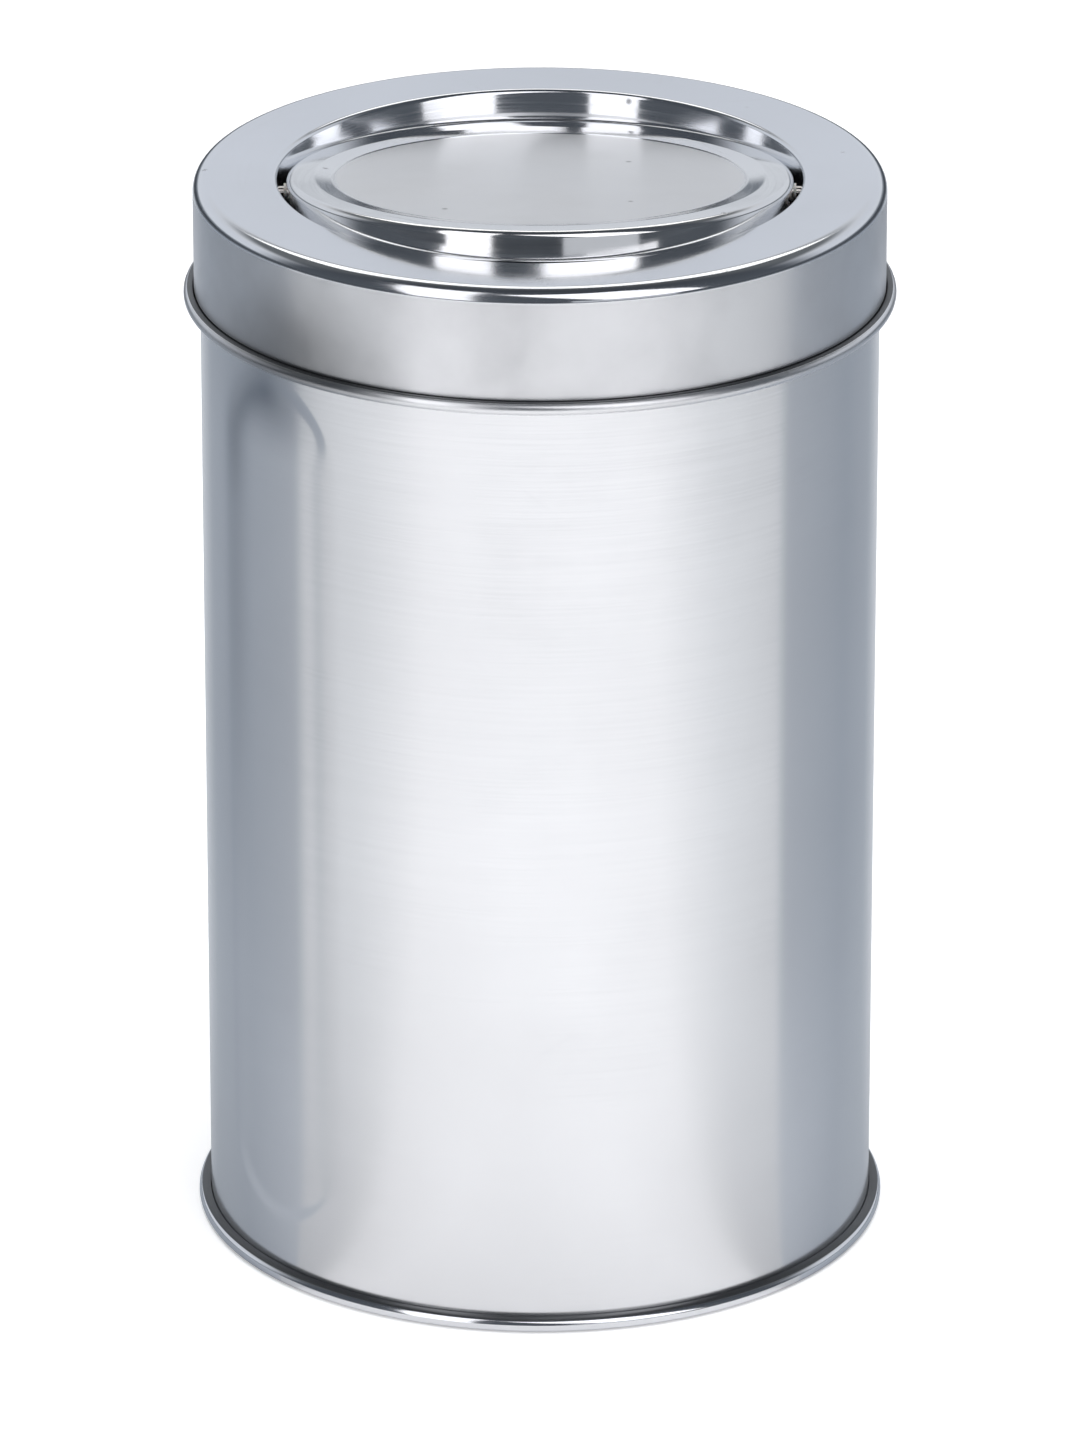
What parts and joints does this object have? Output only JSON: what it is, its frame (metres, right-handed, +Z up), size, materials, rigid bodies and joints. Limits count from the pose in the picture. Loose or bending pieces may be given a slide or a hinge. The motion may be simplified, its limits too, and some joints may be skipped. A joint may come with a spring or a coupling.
{
  "type": "countertop trash can with swing lid",
  "caption": "Small round polished steel table bin with a lift-off lid and a balanced disc flap that swings on short pins in the lid's opening.",
  "frame": {"origin": "centre of the foot, on the surface that the bin stands on", "axes": "+Z up, X along the flap's pivot, -Y the front, where the resting flap's edge is up"},
  "size_m": [0.1236, 0.1236, 0.1969],
  "materials": {
    "body_steel": "bright rolled stainless, soft mirror",
    "lid_steel": "polished stainless, mirror top and satin skirt",
    "flap_steel": "polished stainless, mirror with faint marks",
    "trim_steel": "polished stainless",
    "base_steel": "mill-finished stainless",
    "wire_steel": "plain drawn wire",
    "inner_steel": "plain sheet steel",
    "pin_steel": "turned steel",
    "weight_steel": "plain bar steel",
    "bush_plastic": "grey nylon"
  },
  "bodies": {
    "bin": {"body_shell": "body_steel", "rim_wire": "wire_steel", "base_plate": "base_steel", "base_hoop": "trim_steel"},
    "lid": {"lid_cover": "lid_steel", "lid_bead_wire": "wire_steel", "left_pivot_plate": "inner_steel", "right_pivot_plate": "inner_steel", "left_pivot_pin": "pin_steel", "right_pivot_pin": "pin_steel"},
    "flap": {"flap_pan": "flap_steel", "left_pivot_bush": "bush_plastic", "right_pivot_bush": "bush_plastic", "left_weight_hanger": "inner_steel", "right_weight_hanger": "inner_steel", "counterweight": "weight_steel", "weight_rivets": "pin_steel"}
  },
  "joints": [
    {"name": "lid_lift", "type": "slide", "parent": "bin", "child": "lid", "axis": [0, 0, 1], "range_m": [0, 0.06]},
    {"name": "flap_swing", "type": "hinge", "parent": "lid", "child": "flap", "pos_m": [0, 0, 0.1892], "axis": [1, 0, 0], "range_deg": [-83.6, 96.4]}
  ]
}
